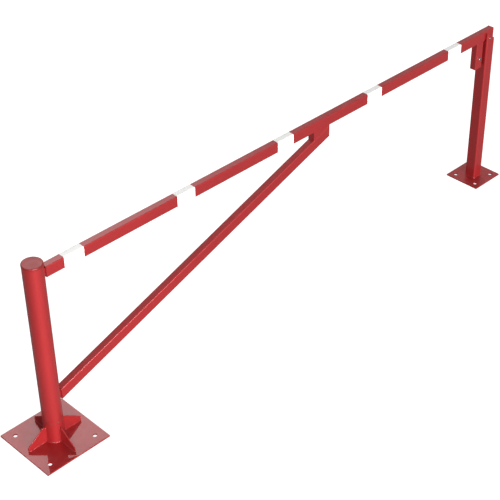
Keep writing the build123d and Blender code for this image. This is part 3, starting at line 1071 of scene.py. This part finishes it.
@dataclass
class LatchPost(GroundPost):
    """The square post the closed beam rests over, with its stop horn and keeper."""

    centre: float = 3.287
    plate_side: float = 0.230
    bolt_pitch: float = 0.150
    side: float = 0.070
    wall: float = 0.004
    corner: float = 0.008
    edge: float = 0.0006
    top: float = 0.948
    horn_height: float = 0.052
    horn_nose: float = 0.004
    horn_return: float = 0.011
    screw_x: float = 3.272
    screw_z: float = 0.967
    screw_radius: float = 0.0032
    drill_length: float = 0.02
    foot_bead: float = 0.0034
    foot_bead_cut: float = 0.0044  # how far the bead cuts across the rounded corners
    keeper_bead: float = 0.0018
    bead_end: float = 0.002  # how far the keeper's beads stop short of its ends

    def build(self) -> None:
        """Build every piece of the latch post."""
        self.base_plate("latch_plate", "latch_base_plate")
        self.post()
        for name, node, finish, width in (
            ("rest_deck", "rest_plate", Finishes.RED, 0.0004),
            ("rest_cushion", "rest_pad", Finishes.RUBBER, 0.0006),
            ("stop_cushion", "stop_buffer", Finishes.RUBBER, 0.0006),
            ("stop_screw", "buffer_screw", Finishes.ZINC, 0.0003),
            ("keeper", "lock_keeper", Finishes.RED, 0.0006),
        ):
            dress(name, Body.POSTS, finish, node, width)
        self.beads()

    def post(self) -> None:
        """Build the upright tube with its corner left standing as the stop horn."""
        post = Workpiece("latch_upright", Body.POSTS, Finishes.RED, ("latch_post", "stop_horn"))
        tip = self.top + self.horn_height
        post.tube(self.side, self.side, self.corner, self.wall, self.plate_thickness, tip)
        upright = Matrix.Rotation(math.radians(-90), 4, "Y")
        post.moved(Matrix.Translation((self.centre, 0, 0)) @ upright)
        left, right = self.centre - self.side / 2, self.centre + self.side / 2
        fold = -self.side / 2 + self.horn_return
        slope = (self.horn_height - self.horn_nose) / self.side
        least, past, above, over = 0.001, 0.01, 0.05, 0.02  # how far the cutters reach out

        opening = Workpiece("cutter")
        low = Vector((left - past, fold, self.top))
        high = Vector((right + past, above, tip + past))
        verts = bmesh.ops.create_cube(opening.metal, size=1)["verts"]
        bmesh.ops.scale(opening.metal, vec=high - low, verts=verts)
        bmesh.ops.translate(opening.metal, vec=(low + high) / 2, verts=verts)
        wedge = Workpiece("wedge")
        outline = [
            (left - over, 0, tip + over * slope),
            (right + least, 0, self.top + self.horn_nose - least * slope),
            (right + least, 0, tip + above),
            (left - over, 0, tip + above),
        ]
        wedge.slab(outline, 4 * above)
        drill = Workpiece("drill")
        place = Matrix.Translation((self.screw_x, -self.side / 2, self.screw_z))
        bmesh.ops.create_cone(
            drill.metal, cap_ends=True, segments=32, radius1=self.screw_radius,
            radius2=self.screw_radius, depth=self.drill_length,
            matrix=place @ Matrix.Rotation(math.radians(90), 4, "X"),
        )
        for cutter in (opening, wedge, drill):
            post.carve(cutter)
        post.soften(self.edge, 2).deliver()

    def beads(self) -> None:
        """Lay the beads round the post's foot and beside the keeper."""
        welds = Workpiece("latch_welds")
        reach, cut = self.side / 2, self.foot_bead_cut
        loop = []
        for sx, sy in CORNERS:
            near = (self.centre + sx * reach, sy * (reach - cut), self.plate_thickness)
            far = (self.centre + sx * (reach - cut), sy * reach, self.plate_thickness)
            loop += [near, far] if sx * sy > 0 else [far, near]
        welds.bead(loop, self.foot_bead, closed=True)
        low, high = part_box("lock_keeper")
        for y in (low.y, high.y):
            ends = [(high.x, y, low.z + self.bead_end), (high.x, y, high.z - self.bead_end)]
            welds.bead(ends, self.keeper_bead)
        welds.deliver()


# ---------------------------------------------------------------- studio


@dataclass
class Studio:
    """Pale floor, soft light and the camera."""

    eye: Point = (-2.6378, -4.1273, 4.5842)
    ahead: Point = (0.56206, 0.58288, -0.58680)
    right: Point = (0.71268, -0.70135, -0.01404)
    lens: float = 97.04
    sensor: float = 36.0
    clip: Span = (0.05, 200)
    floor_size: float = 60.0
    floor_middle: Point = (1.6, 0, -0.0005)
    bounce: float = 0.3
    paleness: float = 0.93
    sky: float = 0.5
    glow_toward: Point = (0.410, 0.600, 0.690)
    glow_reach: Span = (0.955, 1.0)  # cosine of the angle off its middle, from edge to middle
    glow_falloff: float = 2.0
    glow_strength: float = 3.7

    def build(self) -> None:
        """Build the studio."""
        self.floor()
        self.light()
        self.camera()

    def floor(self) -> None:
        """Lay the floor."""
        mesh = bpy.data.meshes.new("studio_floor")
        ground = bmesh.new()
        bmesh.ops.create_grid(ground, x_segments=4, y_segments=4, size=self.floor_size / 2)
        bmesh.ops.translate(ground, vec=self.floor_middle, verts=ground.verts[:])
        ground.to_mesh(mesh)
        ground.free()
        pale = bpy.data.materials.new("studio_pale")
        pale.use_nodes = True
        tree = pale.node_tree
        shader = tree.nodes["Principled BSDF"]
        grey = (self.bounce, self.bounce, self.bounce, 1)
        feed(tree, shader, {"Base Color": grey, "Roughness": 0.9})
        glow = feed(tree, tree.nodes.new("ShaderNodeEmission"), {"Strength": self.paleness})
        both = tree.nodes.new("ShaderNodeAddShader")
        feed(tree, both, {0: glow.outputs["Emission"], 1: shader.outputs["BSDF"]})
        camera_only(tree, shader.outputs["BSDF"], both.outputs["Shader"], "Material Output")
        mesh.materials.append(pale)
        stand("studio_floor", mesh)

    @staticmethod
    def panel(
        name: str, place: Point, target: Point, size: Span, power: float, spread: float = 180.0
    ) -> None:
        """Hang one soft light.

        Args:
            name: its name.
            place: where it hangs.
            target: what it faces.
            size: its width and height.
            power: its power in watts.
            spread: the angle it shines over, in degrees.
        """
        lamp = bpy.data.lights.new(name, "AREA")
        lamp.shape = "RECTANGLE"
        lamp.size, lamp.size_y = size
        lamp.energy = power
        lamp.spread = math.radians(spread)
        aim = (Vector(target) - Vector(place)).to_track_quat("-Z", "Y").to_matrix().to_4x4()
        stand(name, lamp).matrix_world = Matrix.Translation(place) @ aim

    def light(self) -> None:
        """Hang the lights and set the surround: even, with one soft glow that faces reflect."""
        world = bpy.data.worlds.new("studio_surround")
        world.use_nodes = True
        tree = world.node_tree
        facing = tree.nodes.new("ShaderNodeVectorMath")
        facing.operation = "DOT_PRODUCT"
        ray = tree.nodes.new("ShaderNodeTexCoord").outputs["Generated"]
        feed(tree, facing, {0: ray, 1: self.glow_toward})
        near = remap(tree, facing.outputs["Value"], self.glow_reach)
        glow = calculate(tree, "POWER", near, self.glow_falloff)
        strength = calculate(tree, "MULTIPLY_ADD", glow, self.glow_strength, self.sky)
        dim, pale = tree.nodes["Background"], tree.nodes.new("ShaderNodeBackground")
        white = (1, 1, 1, 1)
        feed(tree, dim, {"Color": white, "Strength": strength})
        feed(tree, pale, {"Color": white})
        camera_only(tree, dim.outputs["Background"], pale.outputs["Background"], "World Output")
        bpy.context.scene.world = world
        self.panel(
            "key_light", place=(-6.6, -27.1, 5.2), target=(1.6, 0, 0.6), size=(32, 12), power=17000
        )
        self.panel(
            "fill_light", place=(-1.35, -4.8, 1.2), target=(-0.1, 0, 0.5), size=(1.2, 1.6),
            power=3.5, spread=25,
        )

    def camera(self) -> None:
        """Set the camera up."""
        look, side = Vector(self.ahead).normalized(), Vector(self.right).normalized()
        up = side.cross(look).normalized()
        lens = bpy.data.cameras.new("studio_camera")
        lens.lens = self.lens
        lens.sensor_width = self.sensor
        lens.sensor_fit = "HORIZONTAL"
        lens.clip_start, lens.clip_end = self.clip
        thing = stand("studio_camera", lens)
        turn = Matrix((side, up, -look)).transposed().to_4x4()
        thing.matrix_world = Matrix.Translation(self.eye) @ turn
        bpy.context.scene.camera = thing
        bpy.context.scene.view_settings.view_transform = "Standard"


def main() -> None:
    """Build the gate and its studio, and write how large the result is."""
    logging.basicConfig(level=logging.INFO, format="%(message)s")
    assemblies = (HingeFoot(), Pivot(), Sleeve(), Beam(), Brace(), Lock(), LatchPost(), Studio())
    for assembly in assemblies:
        log.info("building %s", type(assembly).__name__)
        assembly.build()


if __name__ == "__main__":
    main()
